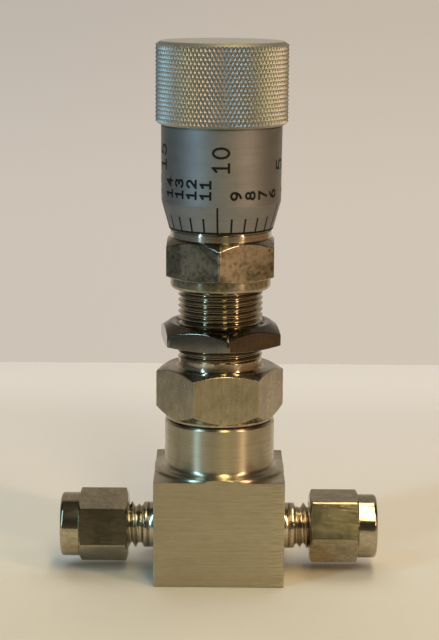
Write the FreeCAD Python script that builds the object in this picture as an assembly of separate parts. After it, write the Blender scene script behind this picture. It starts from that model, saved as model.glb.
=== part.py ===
# Metering valve with a micrometer handle and two compression tube fittings.
# Millimetres. The valve's axis is Z, with the underside of the square block at zero.
# The ports point along -X and +X. The front, which carries the dial's reading, faces -Y.
import FreeCAD, Part
import math
import os

from FreeCAD import Vector

# Fits
running_clearance = 0.05    # radial, between pieces that turn or slide in each other
seat_clearance = 0.10       # radial, between pieces that are screwed or pushed together
ferrule_gap = 0.05          # between the ferrules, the port's cone and the nut's cone

# Valve body: square bar stock with a turned neck
block_width = 22.225
block_height = 18.3
block_edge_break = 0.3
land_radius = 11.4
land_height = 0.5
neck_radius = 9.42
neck_height = 8.3
neck_fillet = 0.9
neck_edge_break = 0.35

# Ports: round stubs with a relief groove behind the thread
port_height = 7.7
port_radius = 3.97
port_length = 8.4
port_shoulder = 1.9
port_groove_depth = 0.72
port_groove_width = 0.45
port_groove_bevel = 0.42
tube_bore_radius = 1.62
tube_way_clearance = 0.03     # the ferrules and nuts stand this much clear of the port's bore
tube_stop_depth = 8.0
flow_bore_radius = 1.2
mouth_radius = 2.35
mouth_half_angle = 12.0

# Passages through the block, and the seat ring
pocket_radius = 1.4
pocket_drop = 1.6
seat_rise = 2.3
seat_radius = 2.5
seat_thickness = 2.5
orifice_radius = 0.8
orifice_bevel = 0.5
chamber_radius = 6.0
outlet_offset = 4.5
outlet_radius = 1.0
outlet_overrun = 0.4

# Bonnet: hexagon, plug that screws into the neck, hollow threaded stem
bonnet_flats = 19.05
bonnet_turn = 6.0
bonnet_gap = 0.35
bonnet_height = 8.85
bonnet_plug_radius = 7.45
bonnet_plug_depth = 5.8
bonnet_nose_length = 6.8
bonnet_crown_radius = 9.3
bonnet_crown_drop = 0.9
bonnet_foot_radius = 9.3
bonnet_foot_drop = 1.85
gasket_thickness = 0.8
relief_radius = 7.1
relief_height = 2.2
relief_fillet = 0.4
bonnet_thread_radius = 7.22
bonnet_thread_length = 18.4
bonnet_thread_bevel = 0.5
bonnet_wide_bore_radius = 2.6
bonnet_guide_length = 5.5
throat_length = 2.5
packing_box_radius = 4.2
packing_box_depth = 12.9

# Panel nut
panel_nut_flats = 19.3
panel_nut_turn = 6.9
panel_nut_rise = 3.9
panel_nut_height = 3.87
panel_nut_crown_radius = 8.67
panel_nut_crown_drop = 1.63
panel_nut_foot_radius = 9.25
panel_nut_foot_drop = 0.45

# Packing, gland and packing nut
packing_height = 2.5
packing_cone_height = 0.9
gland_rise = 0.3
gland_edge_break = 0.3
packing_nut_flats = 18.1
packing_nut_turn = 28.6
packing_nut_height = 6.85
packing_nut_cover = 7.1
packing_nut_collar_radius = 8.56
packing_nut_collar_height = 1.7
packing_nut_collar_round = 0.9
packing_nut_crown_radius = 8.7
packing_nut_crown_drop = 1.25
packing_nut_foot_radius = 8.6
packing_nut_foot_drop = 0.7
spigot_radius = 5.5
spigot_height = 9.35

# Micrometer screw: 25 divisions to a turn, shown at a reading of 10
screw_radius = 3.175
screw_pitch = 0.635
dial_divisions = 25
dial_reading = 10
closed_gap = 0.046
lift_at_rest = screw_pitch * dial_reading / dial_divisions

# Barrel: the fixed sleeve that the thimble turns over
barrel_flange_radius = 8.6
barrel_flange_height = 1.2
barrel_radius = 8.3
barrel_base_height = 3.95
barrel_inner_radius = 7.0
barrel_head_gap = 0.35
barrel_edge_break = 0.15
lock_screw_radius = 0.75
lock_screw_rise = 2.55
lock_screw_slot_width = 0.35
lock_screw_slot_depth = 0.5

# Thimble: the graduated drum
thimble_radius = 10.2
thimble_waist_radius = 10.1
thimble_lip_radius = 8.8
thimble_taper_height = 4.65
thimble_height = 17.29
thimble_cap_thickness = 1.44
thimble_bore_radius = 8.4
thimble_guide_height = 4.2
thimble_inner_radius = 8.95

# Knob
knob_radius = 11.15
knob_height = 14.03
knob_rim_radius = 10.45
knob_top_bevel_height = 0.47
knob_foot_radius = 10.55
knob_foot_bevel_height = 0.5
knob_shadow_radius = 9.9
knob_shadow_height = 0.26
knob_bore_depth = 11.2
set_screw_radius = 1.5
set_screw_length = 5.2
set_screw_drop = 4.2          # below the roof of the knob's bore, so on the stem
set_screw_socket = 1.5
set_screw_socket_depth = 1.6
set_screw_angles = (50.0, 130.0)

# Stem and needle
stem_neck_radius = 2.9
stem_foot_gap = 0.446
stem_top_gap = 0.3
needle_radius = 1.6
needle_head_radius = 2.1
needle_head_height = 1.5
needle_head_play = 0.05
needle_tip_radius = 0.35
needle_taper_radius = 0.74
needle_taper_length = 4.9
retainer_height = 1.5
retainer_radius = 2.55

# Tube nuts and ferrules
tube_nut_flats = 11.11
tube_nut_length = 11.7
tube_nut_hex_length = 8.5
tube_nut_gap = 4.5875          # from the block's side to the nut, screwed up by hand
tube_nut_crown_radius = 5.35
tube_nut_crown_drop = 0.45
tube_nut_shoulder_radius = 5.5
tube_nut_shoulder_drop = 0.35
tube_nut_collar_radius = 5.52
tube_nut_collar_round = 0.6
tube_nut_thread_depth = 5.05
tube_nut_cone_radius = 3.0
tube_nut_mouth_bevel = 0.3
left_nut_tilt = 10.0
right_nut_tilt = 24.6
front_ferrule_nose = 1.1
front_ferrule_flange = 0.65
front_ferrule_radius = 2.75
front_ferrule_recess = 0.6
back_ferrule_radius = 2.45
back_ferrule_length = 1.75
back_ferrule_bevel = 0.5

# Heights along the valve's axis
land_top = block_height + land_height
neck_top = land_top + neck_height
bonnet_foot = neck_top + bonnet_gap
bonnet_hex_top = bonnet_foot + bonnet_height
bonnet_top = bonnet_hex_top + relief_height + bonnet_thread_length
bonnet_shoulder = neck_top - bonnet_plug_depth
gasket_seat = bonnet_shoulder - gasket_thickness
packing_floor = bonnet_top - packing_box_depth
nut_roof = bonnet_top + gland_rise
nut_foot = nut_roof - packing_nut_cover
nut_hex_foot = nut_foot + packing_nut_collar_height
nut_top = nut_hex_foot + packing_nut_height
flange_top = nut_top + barrel_flange_height
thimble_foot = flange_top + closed_gap + lift_at_rest
thimble_top = thimble_foot + thimble_height
cap_underside = thimble_top - thimble_cap_thickness
barrel_top = cap_underside - lift_at_rest - barrel_head_gap
knob_top = thimble_top + knob_height
stem_foot = nut_roof + lift_at_rest + stem_foot_gap
stem_top = thimble_top + knob_bore_depth - stem_top_gap
head_floor = stem_foot + retainer_height
seat_floor = port_height + seat_rise
seat_top = seat_floor + seat_thickness

# Distances from the valve's axis along a port
block_side = block_width / 2
port_end = block_side + port_length
mouth_depth = (mouth_radius - tube_bore_radius) / math.tan(math.radians(mouth_half_angle))
tube_way_radius = tube_bore_radius + tube_way_clearance
tube_nut_inner_end = block_side + tube_nut_gap
nut_bore_end = tube_nut_inner_end + tube_nut_thread_depth
nut_outer_end = tube_nut_inner_end + tube_nut_length


def vec(radius, height):
    return Vector(radius, 0, height)


def turned(start, *steps):
    """A solid turned about Z. A step is a point (radius, height), or (through, end) for an arc."""
    edges = []
    here = start
    for step in steps + (start,):
        if isinstance(step[0], tuple):
            through, end = step
            edges.append(Part.Arc(vec(*here), vec(*through), vec(*end)).toShape())
        else:
            end = step
            edges.append(Part.LineSegment(vec(*here), vec(*end)).toShape())
        here = end
    face = Part.Face(Part.Wire(edges))
    return face.revolve(Vector(0, 0, 0), Vector(0, 0, 1), 360)


def rod(radius, low, high):
    return Part.makeCylinder(radius, high - low, Vector(0, 0, low))


def ring(outer, inner, low, high):
    return rod(outer, low, high).cut(rod(inner, low - 1, high + 1))


def quarter(centre, radius, degrees):
    """The middle of a quarter round, for the arcs of a turned outline."""
    angle = math.radians(degrees)
    return (centre[0] + radius * math.cos(angle), centre[1] + radius * math.sin(angle))


def hexagon(flats, low, high, crown, crown_drop, foot, foot_drop, turn):
    """A six-sided bar whose corners are turned down by a cone at each end."""
    corner = flats / math.sqrt(3)
    outside = corner + 1
    reach = outside - corner
    points = []
    for i in range(7):
        angle = math.radians(60 * i + turn)
        points.append(Vector(corner * math.cos(angle), corner * math.sin(angle), low))
    bar = Part.Face(Part.makePolygon(points)).extrude(Vector(0, 0, high - low))
    crown_slope = crown_drop / (corner - crown)
    foot_slope = foot_drop / (corner - foot)
    cone = turned(
        (0, low),
        (foot, low),
        (outside, low + foot_drop + foot_slope * reach),
        (outside, high - crown_drop - crown_slope * reach),
        (crown, high),
        (0, high),
    )
    return bar.common(cone)


def along_port(shape, side):
    """Lays a piece made along +Z down along a port: side is 1 for +X and -1 for -X."""
    laid = shape.copy()
    laid.rotate(Vector(0, 0, 0), Vector(0, 1, 0), 90 * side)
    laid.translate(Vector(0, 0, port_height))
    return laid


def port_stub():
    groove_radius = port_radius - port_groove_depth
    groove_start = block_side + port_shoulder
    groove_foot = groove_start + port_groove_bevel
    groove_end = groove_foot + port_groove_width
    return turned(
        (0, block_side - 1),
        (port_radius, block_side - 1),
        (port_radius, groove_start),
        (groove_radius, groove_foot),
        (groove_radius, groove_end),
        (port_radius, groove_end + port_groove_bevel),
        (port_radius, port_end - port_groove_bevel),
        (port_radius - port_groove_bevel, port_end),
        (0, port_end),
    )


def port_bore(inner_end):
    tube_stop = port_end - tube_stop_depth
    return turned(
        (0, inner_end),
        (flow_bore_radius, inner_end),
        (flow_bore_radius, tube_stop),
        (tube_bore_radius, tube_stop),
        (tube_bore_radius, port_end - mouth_depth),
        (mouth_radius, port_end),
        (mouth_radius, port_end + 1),
        (0, port_end + 1),
    )


def valve_body():
    bar = Part.makeBox(block_width, block_width, neck_top, Vector(-block_side, -block_side, 0))
    sharp = [edge for edge in bar.Edges if edge.BoundBox.ZMin < block_height]
    bar = bar.makeChamfer(block_edge_break, sharp)
    # the land's rounded edge runs out past the block's four faces
    edge_centre = (land_radius - land_height, block_height)
    fillet_centre = (neck_radius + neck_fillet, land_top + neck_fillet)
    lathe = turned(
        (0, 0),
        (block_width, 0),
        (block_width, block_height),
        (land_radius, block_height),
        quarter(edge_centre, land_height, 45),
        (edge_centre[0], land_top),
        (fillet_centre[0], land_top),
        (quarter(fillet_centre, neck_fillet, 225), (neck_radius, fillet_centre[1])),
        (neck_radius, neck_top - neck_edge_break),
        (neck_radius - neck_edge_break, neck_top),
        (0, neck_top),
    )
    body = bar.common(lathe)
    for side in (-1, 1):
        body = body.fuse(along_port(port_stub(), side))
    body = body.removeSplitter()
    cavity = turned(
        (0, port_height - pocket_drop),
        (pocket_radius, port_height - pocket_drop),
        (pocket_radius, seat_floor),
        (seat_radius + seat_clearance, seat_floor),
        (seat_radius + seat_clearance, seat_top),
        (chamber_radius, seat_top),
        (chamber_radius, gasket_seat),
        (bonnet_plug_radius + seat_clearance, gasket_seat),
        (bonnet_plug_radius + seat_clearance, neck_top + 1),
        (0, neck_top + 1),
    )
    outlet = Part.makeCylinder(
        outlet_radius, seat_top - port_height + 1, Vector(outlet_offset, 0, port_height)
    )
    for bore in (
        cavity,
        outlet,
        along_port(port_bore(0), -1),
        along_port(port_bore(outlet_offset - outlet_radius - outlet_overrun), 1),
    ):
        body = body.cut(bore)
    return body


def seat_ring():
    return turned(
        (orifice_radius, seat_floor),
        (seat_radius, seat_floor),
        (seat_radius, seat_top),
        (orifice_radius + orifice_bevel, seat_top),
        (orifice_radius, seat_top - orifice_bevel),
    )


def bonnet_gasket():
    nose_radius = chamber_radius - seat_clearance
    return ring(
        bonnet_plug_radius - seat_clearance,
        nose_radius + seat_clearance,
        gasket_seat,
        bonnet_shoulder,
    )


def bonnet():
    body = hexagon(
        bonnet_flats, bonnet_foot, bonnet_hex_top, bonnet_crown_radius, bonnet_crown_drop,
        bonnet_foot_radius, bonnet_foot_drop, bonnet_turn,
    )
    nose_radius = chamber_radius - seat_clearance
    nose_end = bonnet_shoulder - bonnet_nose_length
    fillet_centre = (relief_radius + relief_fillet, bonnet_hex_top + relief_fillet)
    relief_top = bonnet_hex_top + relief_height
    bar = turned(
        (0, nose_end),
        (nose_radius - relief_fillet, nose_end),
        (nose_radius, nose_end + relief_fillet),
        (nose_radius, bonnet_shoulder),
        (bonnet_plug_radius, bonnet_shoulder),
        (bonnet_plug_radius, bonnet_foot),
        (bonnet_plug_radius, bonnet_hex_top),
        (fillet_centre[0], bonnet_hex_top),
        (quarter(fillet_centre, relief_fillet, 225), (relief_radius, fillet_centre[1])),
        (relief_radius, relief_top),
        (bonnet_thread_radius, relief_top + bonnet_thread_radius - relief_radius),
        (bonnet_thread_radius, bonnet_top - bonnet_thread_bevel),
        (bonnet_thread_radius - bonnet_thread_bevel, bonnet_top),
        (0, bonnet_top),
    )
    way = needle_radius + running_clearance
    guide_end = nose_end + bonnet_guide_length
    throat_start = packing_floor - throat_length
    bore = turned(
        (0, nose_end - 1),
        (way, nose_end - 1),
        (way, guide_end),
        (bonnet_wide_bore_radius, guide_end),
        (bonnet_wide_bore_radius, throat_start),
        (way, throat_start),
        (way, packing_floor),
        (packing_box_radius, packing_floor),
        (packing_box_radius, bonnet_top + 1),
        (0, bonnet_top + 1),
    )
    return body.fuse(bar).removeSplitter().cut(bore)


def panel_nut():
    low = bonnet_hex_top + panel_nut_rise
    high = low + panel_nut_height
    bore = bonnet_thread_radius + running_clearance
    nut = hexagon(
        panel_nut_flats, low, high, panel_nut_crown_radius, panel_nut_crown_drop,
        panel_nut_foot_radius, panel_nut_foot_drop, 30 + panel_nut_turn,
    )
    bevel = bonnet_thread_bevel
    return nut.cut(
        turned(
            (0, low - 1),
            (bore + bevel, low - 1),
            (bore + bevel, low),
            (bore, low + bevel),
            (bore, high - bevel),
            (bore + bevel, high),
            (bore + bevel, high + 1),
            (0, high + 1),
        )
    )


def lower_packing():
    """A ring whose upper face is a hollow cone."""
    outer = packing_box_radius - running_clearance
    inner = needle_radius + running_clearance
    top = packing_floor + packing_height
    return turned(
        (inner, packing_floor),
        (outer, packing_floor),
        (outer, top),
        (inner, top - packing_cone_height),
    )


def upper_packing():
    """A ring whose lower face is the cone that enters the lower ring."""
    outer = packing_box_radius - running_clearance
    inner = needle_radius + running_clearance
    low = packing_floor + packing_height + running_clearance
    top = packing_floor + 2 * packing_height
    return turned(
        (inner, low - packing_cone_height),
        (outer, low),
        (outer, top),
        (inner, top),
    )


def gland():
    outer = packing_box_radius - running_clearance
    inner = needle_radius + running_clearance
    low = packing_floor + 2 * packing_height
    return turned(
        (inner, low),
        (outer - gland_edge_break, low),
        (outer, low + gland_edge_break),
        (outer, nut_roof - gland_edge_break),
        (outer - gland_edge_break, nut_roof),
        (inner + gland_edge_break, nut_roof),
        (inner, nut_roof - gland_edge_break),
    )


def packing_nut():
    nut = hexagon(
        packing_nut_flats, nut_hex_foot, nut_top, packing_nut_crown_radius,
        packing_nut_crown_drop, packing_nut_foot_radius, packing_nut_foot_drop, packing_nut_turn,
    )
    collar_centre = (packing_nut_collar_radius - packing_nut_collar_round,
                     nut_foot + packing_nut_collar_round)
    bar = turned(
        (0, nut_foot),
        (collar_centre[0], nut_foot),
        (quarter(collar_centre, packing_nut_collar_round, 315),
         (packing_nut_collar_radius, collar_centre[1])),
        (packing_nut_collar_radius, nut_hex_foot + 1),
        (spigot_radius, nut_hex_foot + 1),
        (spigot_radius, nut_top + spigot_height - gland_edge_break),
        (spigot_radius - gland_edge_break, nut_top + spigot_height),
        (0, nut_top + spigot_height),
    )
    thread_bore = bonnet_thread_radius + running_clearance
    screw_bore = screw_radius + running_clearance
    bore = turned(
        (0, nut_foot - 1),
        (thread_bore, nut_foot - 1),
        (thread_bore, nut_roof),
        (screw_bore, nut_roof),
        (screw_bore, nut_top + spigot_height + 1),
        (0, nut_top + spigot_height + 1),
    )
    return nut.fuse(bar).removeSplitter().cut(bore)


def lock_screw_place():
    """The lock screw's axis lies along +Y, through the thick foot of the barrel."""
    return Vector(0, 0, nut_top + lock_screw_rise), Vector(0, 1, 0)


def barrel():
    base_top = nut_top + barrel_base_height
    sleeve = turned(
        (spigot_radius + seat_clearance, nut_top),
        (barrel_flange_radius - barrel_edge_break, nut_top),
        (barrel_flange_radius, nut_top + barrel_edge_break),
        (barrel_flange_radius, flange_top - barrel_edge_break),
        (barrel_flange_radius - barrel_edge_break, flange_top),
        (barrel_radius, flange_top),
        (barrel_radius, barrel_top - barrel_edge_break),
        (barrel_radius - barrel_edge_break, barrel_top),
        (barrel_inner_radius, barrel_top),
        (barrel_inner_radius, base_top),
        (spigot_radius + seat_clearance, base_top),
    )
    place, way = lock_screw_place()
    hole = Part.makeCylinder(lock_screw_radius + running_clearance, barrel_radius + 1, place, way)
    return sleeve.cut(hole)


def barrel_lock_screw():
    """A slotted screw that runs through the barrel's foot and bears on the spigot."""
    place, way = lock_screw_place()
    near = spigot_radius + running_clearance
    far = barrel_radius - barrel_edge_break
    screw = Part.makeCylinder(lock_screw_radius, far - near, place + way * near, way)
    slot = Part.makeBox(
        2 * lock_screw_radius + 1,
        lock_screw_slot_depth + 1,
        lock_screw_slot_width,
        place + Vector(
            -lock_screw_radius - 0.5, far - lock_screw_slot_depth, -lock_screw_slot_width / 2
        ),
    )
    return screw.cut(slot)


def thimble():
    bore = thimble_bore_radius
    guide_top = thimble_foot + thimble_guide_height
    widening = thimble_inner_radius - bore
    cap_bore = stem_neck_radius + running_clearance
    return turned(
        (bore, thimble_foot),
        (thimble_lip_radius, thimble_foot),
        (thimble_waist_radius, thimble_foot + thimble_taper_height),
        (thimble_radius, thimble_top),
        (cap_bore, thimble_top),
        (cap_bore, cap_underside),
        (thimble_inner_radius, cap_underside),
        (thimble_inner_radius, guide_top + widening),
        (bore, guide_top),
    )


def set_screw_place(degrees):
    angle = math.radians(degrees)
    way = Vector(math.cos(angle), math.sin(angle), 0)
    return Vector(0, 0, thimble_top + knob_bore_depth - set_screw_drop), way


def knob():
    shadow_top = thimble_top + knob_shadow_height
    body = turned(
        (0, thimble_top),
        (knob_shadow_radius, thimble_top),
        (knob_shadow_radius, shadow_top),
        (knob_foot_radius, shadow_top),
        (knob_radius, shadow_top + knob_foot_bevel_height),
        (knob_radius, knob_top - knob_top_bevel_height),
        (knob_rim_radius, knob_top),
        (0, knob_top),
    )
    body = body.cut(
        rod(stem_neck_radius + running_clearance, thimble_top - 1, thimble_top + knob_bore_depth)
    )
    for degrees in set_screw_angles:
        place, way = set_screw_place(degrees)
        body = body.cut(
            Part.makeCylinder(set_screw_radius + running_clearance, knob_radius + 1, place, way)
        )
    return body


def knob_set_screw(degrees):
    """A headless screw with a six-sided socket, its point on the stem."""
    near = stem_neck_radius + running_clearance
    place = Vector(0, 0, near)
    screw = Part.makeCylinder(set_screw_radius, set_screw_length, place)
    corner = set_screw_socket / math.sqrt(3)
    top = near + set_screw_length
    points = []
    for i in range(7):
        angle = math.radians(60 * i)
        points.append(Vector(corner * math.cos(angle), corner * math.sin(angle), top + 1))
    depth = Vector(0, 0, -set_screw_socket_depth - 1)
    screw = screw.cut(Part.Face(Part.makePolygon(points)).extrude(depth))
    screw.rotate(Vector(0, 0, 0), Vector(0, 1, 0), 90)
    screw.rotate(Vector(0, 0, 0), Vector(0, 0, 1), degrees)
    screw.translate(set_screw_place(degrees)[0])
    return screw


def knob_set_screws():
    return Part.makeCompound([knob_set_screw(degrees) for degrees in set_screw_angles])


def stem():
    edge = gland_edge_break
    bar = turned(
        (0, stem_foot),
        (screw_radius - edge, stem_foot),
        (screw_radius, stem_foot + edge),
        (screw_radius, cap_underside),
        (stem_neck_radius, cap_underside),
        (stem_neck_radius, stem_top - edge),
        (stem_neck_radius - edge, stem_top),
        (0, stem_top),
    )
    head_way = needle_head_radius + running_clearance
    head_roof = head_floor + needle_head_height + 2 * needle_head_play
    socket = turned(
        (0, stem_foot - 1),
        (retainer_radius + running_clearance, stem_foot - 1),
        (retainer_radius + running_clearance, head_floor),
        (head_way, head_floor),
        (head_way, head_roof),
        (0, head_roof),
    )
    return bar.cut(socket)


def needle_retainer():
    return ring(
        retainer_radius, needle_radius + running_clearance, stem_foot, head_floor
    )


def needle():
    """A collar at the top, a plain shank, a closing cone and a long fine taper."""
    head_low = head_floor + needle_head_play
    cone_foot = seat_top - orifice_bevel + lift_at_rest
    cone_height = needle_radius - orifice_radius + running_clearance
    tip = cone_foot - needle_taper_length
    return turned(
        (0, tip),
        (needle_tip_radius, tip),
        (needle_taper_radius, cone_foot),
        (orifice_radius - running_clearance, cone_foot),
        (needle_radius, cone_foot + cone_height),
        (needle_radius, head_low),
        (needle_head_radius, head_low),
        (needle_head_radius, head_low + needle_head_height),
        (0, head_low + needle_head_height),
    )


def tube_nut(side, tilt):
    """The six-sided fitting nut; tilt raises its front flat from upright."""
    hex_end = tube_nut_inner_end + tube_nut_hex_length
    turn = (tilt if side < 0 else -tilt)
    nut = hexagon(
        tube_nut_flats, tube_nut_inner_end, hex_end, tube_nut_shoulder_radius,
        tube_nut_shoulder_drop, tube_nut_crown_radius, tube_nut_crown_drop, turn,
    )
    round_centre = (tube_nut_collar_radius - tube_nut_collar_round,
                    nut_outer_end - tube_nut_collar_round)
    collar = turned(
        (0, hex_end - 1),
        (tube_nut_collar_radius, hex_end - 1),
        (tube_nut_collar_radius, round_centre[1]),
        (quarter(round_centre, tube_nut_collar_round, 45), (round_centre[0], nut_outer_end)),
        (0, nut_outer_end),
    )
    thread_bore = port_radius + running_clearance
    cone_length = tube_nut_cone_radius - tube_way_radius
    bevel = tube_nut_mouth_bevel
    bore = turned(
        (0, tube_nut_inner_end - 1),
        (thread_bore + bevel, tube_nut_inner_end - 1),
        (thread_bore + bevel, tube_nut_inner_end),
        (thread_bore, tube_nut_inner_end + bevel),
        (thread_bore, nut_bore_end),
        (tube_nut_cone_radius, nut_bore_end),
        (tube_way_radius, nut_bore_end + cone_length),
        (tube_way_radius, nut_outer_end - bevel),
        (tube_way_radius + bevel, nut_outer_end),
        (tube_way_radius + bevel, nut_outer_end + 1),
        (0, nut_outer_end + 1),
    )
    return along_port(nut.fuse(collar).removeSplitter().cut(bore), side)


def front_ferrule(side):
    """A cone that enters the port's mouth, with a recess behind for the back ferrule."""
    slope = math.tan(math.radians(mouth_half_angle))
    nose = port_end - mouth_depth + front_ferrule_nose
    nose_radius = tube_bore_radius + front_ferrule_nose * slope - ferrule_gap
    rear = port_end + ferrule_gap + front_ferrule_flange
    shape = turned(
        (tube_way_radius, nose),
        (nose_radius, nose),
        (mouth_radius - ferrule_gap, port_end),
        (mouth_radius - ferrule_gap, port_end + ferrule_gap),
        (front_ferrule_radius, port_end + ferrule_gap),
        (front_ferrule_radius, rear),
        (tube_way_radius + front_ferrule_recess, rear),
        (tube_way_radius, rear - front_ferrule_recess),
    )
    return along_port(shape, side)


def back_ferrule(side):
    """A ring with a bevelled nose in the front ferrule, driven by the nut's cone."""
    recess_foot = port_end + ferrule_gap + front_ferrule_flange - front_ferrule_recess
    nose = recess_foot + 2 * ferrule_gap
    rear = nose + back_ferrule_length
    lip = front_ferrule_recess - ferrule_gap
    shape = turned(
        (tube_way_radius, nose),
        (tube_way_radius + lip, nose + lip),
        (back_ferrule_radius, nose + lip),
        (back_ferrule_radius, rear - back_ferrule_bevel),
        (back_ferrule_radius - back_ferrule_bevel, rear),
        (tube_way_radius, rear),
    )
    return along_port(shape, side)


pieces = {
    "valve_body": valve_body(),
    "seat_ring": seat_ring(),
    "bonnet_gasket": bonnet_gasket(),
    "bonnet": bonnet(),
    "panel_nut": panel_nut(),
    "lower_packing": lower_packing(),
    "upper_packing": upper_packing(),
    "gland": gland(),
    "packing_nut": packing_nut(),
    "barrel": barrel(),
    "barrel_lock_screw": barrel_lock_screw(),
    "thimble": thimble(),
    "knob": knob(),
    "knob_set_screws": knob_set_screws(),
    "stem": stem(),
    "needle_retainer": needle_retainer(),
    "needle": needle(),
}
for name, side, tilt in (("left", -1, left_nut_tilt), ("right", 1, right_nut_tilt)):
    pieces[f"{name}_tube_nut"] = tube_nut(side, tilt)
    pieces[f"{name}_front_ferrule"] = front_ferrule(side)
    pieces[f"{name}_back_ferrule"] = back_ferrule(side)

os.makedirs("parts", exist_ok=True)
for name, shape in pieces.items():
    shape.exportStep(f"parts/{name}.step")
    print(name, round(shape.Volume, 2), shape.isValid(), len(shape.Solids))
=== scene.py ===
import math

import bmesh
import bpy
from mathutils import Matrix, Vector


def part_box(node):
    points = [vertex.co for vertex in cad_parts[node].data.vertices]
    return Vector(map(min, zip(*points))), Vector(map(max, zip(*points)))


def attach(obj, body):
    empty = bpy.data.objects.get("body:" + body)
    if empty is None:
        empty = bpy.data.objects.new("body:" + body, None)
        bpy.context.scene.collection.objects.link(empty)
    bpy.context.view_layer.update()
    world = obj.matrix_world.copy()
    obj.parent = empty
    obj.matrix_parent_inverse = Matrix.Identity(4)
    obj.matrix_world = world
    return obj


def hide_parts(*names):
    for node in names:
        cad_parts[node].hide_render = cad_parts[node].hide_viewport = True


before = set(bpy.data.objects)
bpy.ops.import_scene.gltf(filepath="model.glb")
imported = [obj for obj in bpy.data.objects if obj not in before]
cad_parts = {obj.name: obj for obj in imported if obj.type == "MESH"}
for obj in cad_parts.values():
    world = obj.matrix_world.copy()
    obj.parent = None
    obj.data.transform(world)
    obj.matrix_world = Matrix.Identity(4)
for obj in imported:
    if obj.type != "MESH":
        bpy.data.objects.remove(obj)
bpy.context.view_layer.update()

# Camera
# A long lens a little above the dial, tipped down towards the square block.
camera_place = Vector((-0.00014, -0.3195, 0.1064))
camera_pitch = math.radians(11.03)
camera_roll = math.radians(0.44)
camera_lens = 107.03

camera = bpy.data.objects.new("camera", bpy.data.cameras.new("camera"))
bpy.context.scene.collection.objects.link(camera)
camera.data.lens = camera_lens
camera.data.clip_start = 0.01
camera.matrix_world = (
    Matrix.Translation(camera_place)
    @ Matrix.Rotation(math.pi / 2 - camera_pitch, 4, "X")
    @ Matrix.Rotation(camera_roll, 4, "Z")
)
bpy.context.scene.camera = camera
bpy.context.scene.view_settings.view_transform = "Standard"


# Valve body
# A length of square bar in stainless steel with a neck turned on top and a threaded port at each
# side. Its four faces are milled and brushed in level lines, and the neck keeps turning lines.
MM = 0.001
body_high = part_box("valve_body")[1] / MM
block_flats = 2 * body_high.y
block_top = 18.3
block_corner_round = 0.3
land_radius = 11.4
land_round = 0.5
neck_radius = 9.42
neck_fillet = 0.9
neck_bevel = 0.35
neck_top = body_high.z
gasket_seat = 20.5
plug_bore = 7.55
chamber_radius = 6.0
seat_top = 12.5
seat_floor = 10.0
seat_bore = 2.6
pocket_radius = 1.4
pocket_floor = 6.1
port_height = 7.7
port_end = body_high.x
port_shoulder = 1.9
port_radius = 3.97
port_root = 3.19
port_pitch = 1.27
port_groove_radius = 3.25
port_groove_bevel = 0.42
port_groove_width = 0.1
port_thread_turn = {-1: math.radians(47), 1: math.radians(297)}
port_overlap = 0.6
score_place = 0.9
score_depth = 0.07
flow_bore = 1.2
tube_bore = 1.62
tube_stop = port_end - 8.0
mouth_radius = 2.35
mouth_depth = 3.434
outlet_offset = 4.5
outlet_radius = 1.0
bore_overlap = 0.4
crease_angle = 32
body_dark = (0.37, 0.322, 0.222)
body_light = (0.56, 0.50, 0.365)
streak_centre = (-26, 0, 9)
ring_drift = 0.08
# How dark real stains and painted shade make a metal, and how much glossier.
stain_and_shade_darkness = 0.45
stain_and_shade_polish = 0.06


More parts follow.
